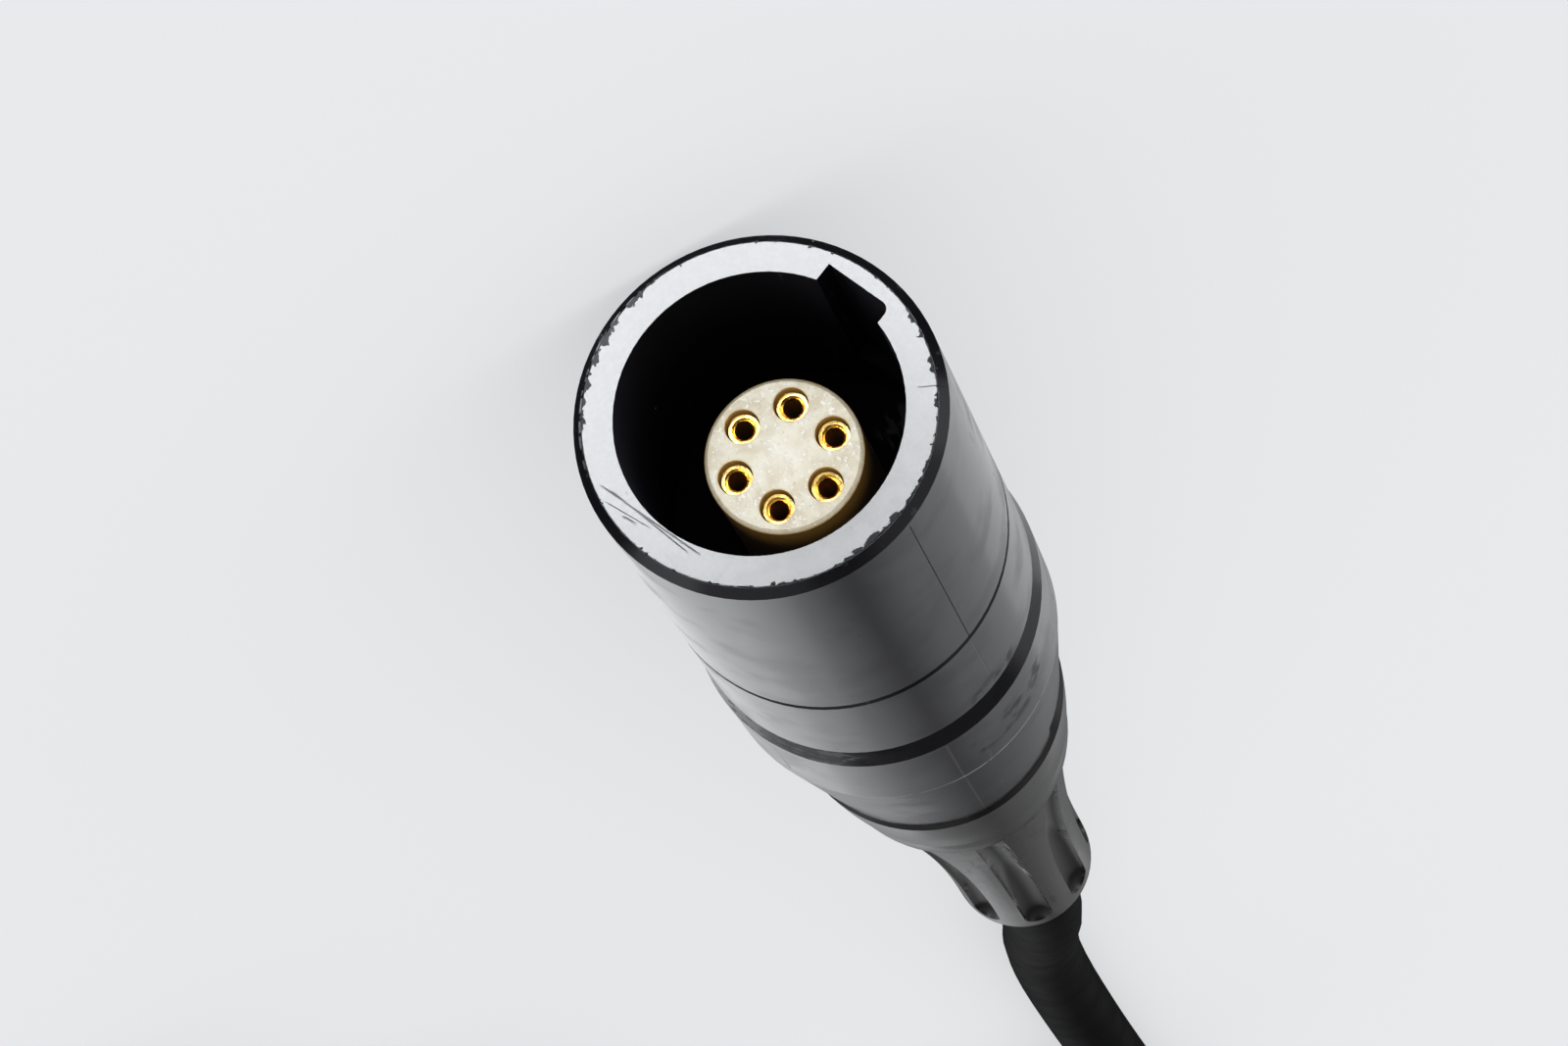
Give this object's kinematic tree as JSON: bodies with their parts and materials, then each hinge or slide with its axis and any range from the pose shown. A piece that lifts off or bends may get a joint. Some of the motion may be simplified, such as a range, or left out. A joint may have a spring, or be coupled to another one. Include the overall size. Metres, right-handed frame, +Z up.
{
  "type": "headset adapter",
  "caption": "Round keyed in-line socket with recessed gold contacts, a fluted back nut and a short coiled cord that ends in a straight headset plug.",
  "frame": {"origin": "under the middle of the socket, on the surface it lies on", "axes": "+Z up; the socket's axis lies along Y, its open mating face towards -Y and its cord towards +Y; the coil and the plug are put away on the +X side"},
  "size_m": [0.0555, 0.1783, 0.0143],
  "materials": {
    "shell_plastic": "glossy black",
    "nut_plastic": "semi-gloss dark grey",
    "block_plastic": "matt speckled beige",
    "contact_gold": "gold plated",
    "retainer_metal": "plain turned",
    "washer_steel": "plain",
    "clamp_plastic": "matt natural",
    "cord_jacket": "matt black",
    "tie_strap": "black woven",
    "barrel_plastic": "satin black",
    "boot_rubber": "matt black",
    "plug_metal": "bright plated",
    "plug_insulation": "black",
    "wire_red": "satin",
    "wire_white": "satin",
    "wire_green": "satin",
    "wire_blue": "satin",
    "wire_yellow": "satin",
    "wire_black": "satin"
  },
  "bodies": {
    "root": {"back_nut": "nut_plastic", "block_retainer": "retainer_metal", "clamp_washer": "washer_steel", "coil_tie": "tie_strap", "contact_1": "contact_gold", "contact_2": "contact_gold", "contact_3": "contact_gold", "contact_4": "contact_gold", "contact_5": "contact_gold", "contact_6": "contact_gold", "contact_block": "block_plastic", "cord_clamp": "clamp_plastic", "cord_coil": "cord_jacket", "cord_lead": "cord_jacket", "cord_plug_end": "cord_jacket", "cord_socket_end": "cord_jacket", "cord_tail": "cord_jacket", "front_shell": "shell_plastic", "joint_ring": "shell_plastic", "plug_barrel": "barrel_plastic", "plug_boot": "boot_rubber", "plug_insulator_1": "plug_insulation", "plug_insulator_2": "plug_insulation", "plug_insulator_3": "plug_insulation", "plug_ring_1": "plug_metal", "plug_ring_2": "plug_metal", "plug_sleeve": "plug_metal", "plug_tip": "plug_metal", "plug_wire_1": "wire_red", "plug_wire_2": "wire_white", "plug_wire_3": "wire_green", "plug_wire_4": "wire_blue", "rear_block": "block_plastic", "rear_body": "shell_plastic", "wire_1": "wire_red", "wire_2": "wire_white", "wire_3": "wire_green", "wire_4": "wire_blue", "wire_5": "wire_yellow", "wire_6": "wire_black"}
  },
  "joints": []
}
